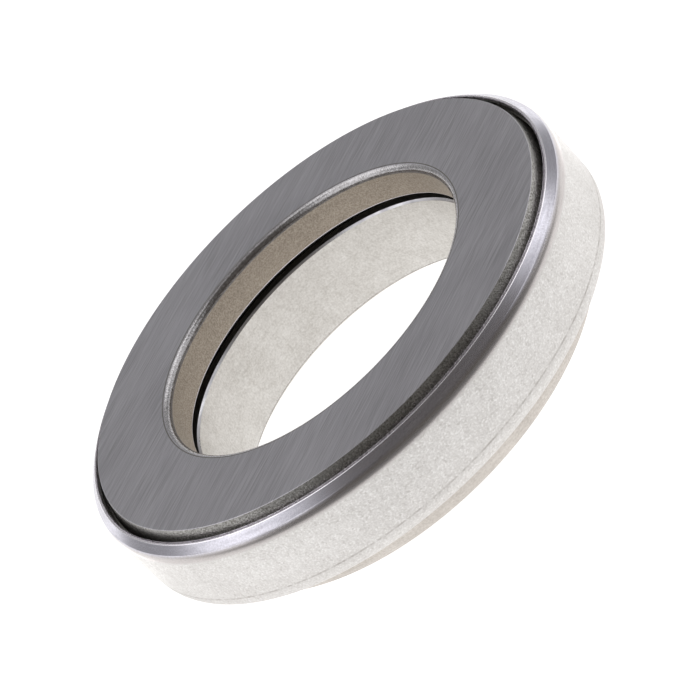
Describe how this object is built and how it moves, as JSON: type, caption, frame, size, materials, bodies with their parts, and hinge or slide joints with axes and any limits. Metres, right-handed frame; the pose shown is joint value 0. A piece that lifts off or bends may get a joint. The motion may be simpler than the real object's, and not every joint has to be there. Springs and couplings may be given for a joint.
{
  "type": "thrust ball bearing",
  "caption": "Ring-shaped thrust ball bearing: a flat upper race turns on caged balls over a lower race, both held inside a rolled sheet steel band.",
  "frame": {"origin": "centre of the bearing's bottom face, on its axis", "axes": "+Z along the bearing's axis, from the stationary lower race to the rotating upper race; X and Y lie across the bore"},
  "size_m": [0.0856, 0.0856, 0.0196],
  "materials": {
    "ground_steel": "ground flat face with fine parallel lines, matte scaled chamfer",
    "race_steel": "finely turned, matte",
    "plated_steel": "matte plated sheet, polished on the rolled lip",
    "cage_steel": "stamped, satin",
    "ball_steel": "polished"
  },
  "bodies": {
    "lower_assembly": {"lower_race": "race_steel", "outer_band": "plated_steel"},
    "upper_race": {"upper_race": "ground_steel"},
    "ball_cage": {"ball_cage": "cage_steel"},
    "ball_01": {"ball_01": "ball_steel"},
    "ball_02": {"ball_02": "ball_steel"},
    "ball_03": {"ball_03": "ball_steel"},
    "ball_04": {"ball_04": "ball_steel"},
    "ball_05": {"ball_05": "ball_steel"},
    "ball_06": {"ball_06": "ball_steel"},
    "ball_07": {"ball_07": "ball_steel"},
    "ball_08": {"ball_08": "ball_steel"},
    "ball_09": {"ball_09": "ball_steel"},
    "ball_10": {"ball_10": "ball_steel"},
    "ball_11": {"ball_11": "ball_steel"},
    "ball_12": {"ball_12": "ball_steel"},
    "ball_13": {"ball_13": "ball_steel"},
    "ball_14": {"ball_14": "ball_steel"},
    "ball_15": {"ball_15": "ball_steel"},
    "ball_16": {"ball_16": "ball_steel"},
    "ball_17": {"ball_17": "ball_steel"},
    "ball_18": {"ball_18": "ball_steel"}
  },
  "joints": [
    {"name": "race_spin", "type": "hinge", "parent": "lower_assembly", "child": "upper_race", "pos_m": [0, 0, 0.01324], "axis": [0, 0, 1], "continuous": true},
    {"name": "cage_spin", "type": "hinge", "parent": "lower_assembly", "child": "ball_cage", "pos_m": [0, 0, 0.01324], "axis": [0, 0, 1], "continuous": true},
    {"name": "ball_01_roll", "type": "hinge", "parent": "ball_cage", "child": "ball_01", "pos_m": [0.0339, 0, 0.01324], "axis": [1, 0, 0], "continuous": true},
    {"name": "ball_02_roll", "type": "hinge", "parent": "ball_cage", "child": "ball_02", "pos_m": [0.03186, 0.01159, 0.01324], "axis": [0.9397, 0.342, 0], "continuous": true},
    {"name": "ball_03_roll", "type": "hinge", "parent": "ball_cage", "child": "ball_03", "pos_m": [0.02597, 0.02179, 0.01324], "axis": [0.766, 0.6428, 0], "continuous": true},
    {"name": "ball_04_roll", "type": "hinge", "parent": "ball_cage", "child": "ball_04", "pos_m": [0.01695, 0.02936, 0.01324], "axis": [0.5, 0.866, 0], "continuous": true},
    {"name": "ball_05_roll", "type": "hinge", "parent": "ball_cage", "child": "ball_05", "pos_m": [0.00589, 0.03338, 0.01324], "axis": [0.1736, 0.9848, 0], "continuous": true},
    {"name": "ball_06_roll", "type": "hinge", "parent": "ball_cage", "child": "ball_06", "pos_m": [-0.00589, 0.03338, 0.01324], "axis": [-0.1736, 0.9848, 0], "continuous": true},
    {"name": "ball_07_roll", "type": "hinge", "parent": "ball_cage", "child": "ball_07", "pos_m": [-0.01695, 0.02936, 0.01324], "axis": [-0.5, 0.866, 0], "continuous": true},
    {"name": "ball_08_roll", "type": "hinge", "parent": "ball_cage", "child": "ball_08", "pos_m": [-0.02597, 0.02179, 0.01324], "axis": [-0.766, 0.6428, 0], "continuous": true},
    {"name": "ball_09_roll", "type": "hinge", "parent": "ball_cage", "child": "ball_09", "pos_m": [-0.03186, 0.01159, 0.01324], "axis": [-0.9397, 0.342, 0], "continuous": true},
    {"name": "ball_10_roll", "type": "hinge", "parent": "ball_cage", "child": "ball_10", "pos_m": [-0.0339, 0, 0.01324], "axis": [-1, 0, 0], "continuous": true},
    {"name": "ball_11_roll", "type": "hinge", "parent": "ball_cage", "child": "ball_11", "pos_m": [-0.03186, -0.01159, 0.01324], "axis": [-0.9397, -0.342, 0], "continuous": true},
    {"name": "ball_12_roll", "type": "hinge", "parent": "ball_cage", "child": "ball_12", "pos_m": [-0.02597, -0.02179, 0.01324], "axis": [-0.766, -0.6428, 0], "continuous": true},
    {"name": "ball_13_roll", "type": "hinge", "parent": "ball_cage", "child": "ball_13", "pos_m": [-0.01695, -0.02936, 0.01324], "axis": [-0.5, -0.866, 0], "continuous": true},
    {"name": "ball_14_roll", "type": "hinge", "parent": "ball_cage", "child": "ball_14", "pos_m": [-0.00589, -0.03338, 0.01324], "axis": [-0.1736, -0.9848, 0], "continuous": true},
    {"name": "ball_15_roll", "type": "hinge", "parent": "ball_cage", "child": "ball_15", "pos_m": [0.00589, -0.03338, 0.01324], "axis": [0.1736, -0.9848, 0], "continuous": true},
    {"name": "ball_16_roll", "type": "hinge", "parent": "ball_cage", "child": "ball_16", "pos_m": [0.01695, -0.02936, 0.01324], "axis": [0.5, -0.866, 0], "continuous": true},
    {"name": "ball_17_roll", "type": "hinge", "parent": "ball_cage", "child": "ball_17", "pos_m": [0.02597, -0.02179, 0.01324], "axis": [0.766, -0.6428, 0], "continuous": true},
    {"name": "ball_18_roll", "type": "hinge", "parent": "ball_cage", "child": "ball_18", "pos_m": [0.03186, -0.01159, 0.01324], "axis": [0.9397, -0.342, 0], "continuous": true}
  ],
  "couplings": [
    {"joint": "cage_spin", "follows": "race_spin", "ratio": 0.5},
    {"joint": "ball_01_roll", "follows": "race_spin", "ratio": -4.2706},
    {"joint": "ball_02_roll", "follows": "race_spin", "ratio": -4.2706},
    {"joint": "ball_03_roll", "follows": "race_spin", "ratio": -4.2706},
    {"joint": "ball_04_roll", "follows": "race_spin", "ratio": -4.2706},
    {"joint": "ball_05_roll", "follows": "race_spin", "ratio": -4.2706},
    {"joint": "ball_06_roll", "follows": "race_spin", "ratio": -4.2706},
    {"joint": "ball_07_roll", "follows": "race_spin", "ratio": -4.2706},
    {"joint": "ball_08_roll", "follows": "race_spin", "ratio": -4.2706},
    {"joint": "ball_09_roll", "follows": "race_spin", "ratio": -4.2706},
    {"joint": "ball_10_roll", "follows": "race_spin", "ratio": -4.2706},
    {"joint": "ball_11_roll", "follows": "race_spin", "ratio": -4.2706},
    {"joint": "ball_12_roll", "follows": "race_spin", "ratio": -4.2706},
    {"joint": "ball_13_roll", "follows": "race_spin", "ratio": -4.2706},
    {"joint": "ball_14_roll", "follows": "race_spin", "ratio": -4.2706},
    {"joint": "ball_15_roll", "follows": "race_spin", "ratio": -4.2706},
    {"joint": "ball_16_roll", "follows": "race_spin", "ratio": -4.2706},
    {"joint": "ball_17_roll", "follows": "race_spin", "ratio": -4.2706},
    {"joint": "ball_18_roll", "follows": "race_spin", "ratio": -4.2706}
  ]
}
